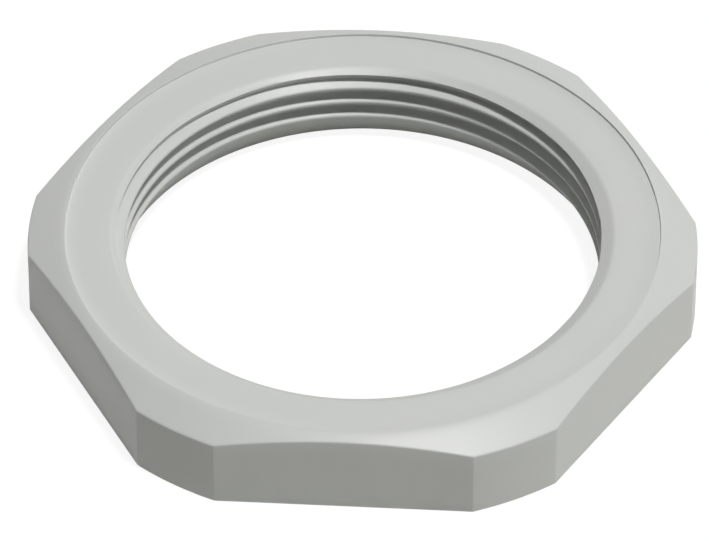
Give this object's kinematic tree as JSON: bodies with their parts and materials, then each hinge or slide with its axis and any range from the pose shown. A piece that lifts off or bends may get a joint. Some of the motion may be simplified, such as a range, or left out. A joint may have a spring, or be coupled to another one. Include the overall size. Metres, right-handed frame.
{
  "type": "cable gland locknut",
  "caption": "Moulded hexagonal locknut for a cable gland: metric internal thread, turned corners, coned top with a narrow lip round a sunk face.",
  "frame": {"origin": "where the thread's axis meets the underside, at the middle of the bottom of the nut's box", "axes": "+Z along the thread's axis, from the plain underside to the coned top; -Y and +Y look out of two opposite flats"},
  "size_m": [0.054, 0.05, 0.0072],
  "materials": {
    "polyamide": "light grey moulded polyamide, satin matte"
  },
  "bodies": {
    "root": {"locknut": "polyamide"}
  },
  "joints": []
}
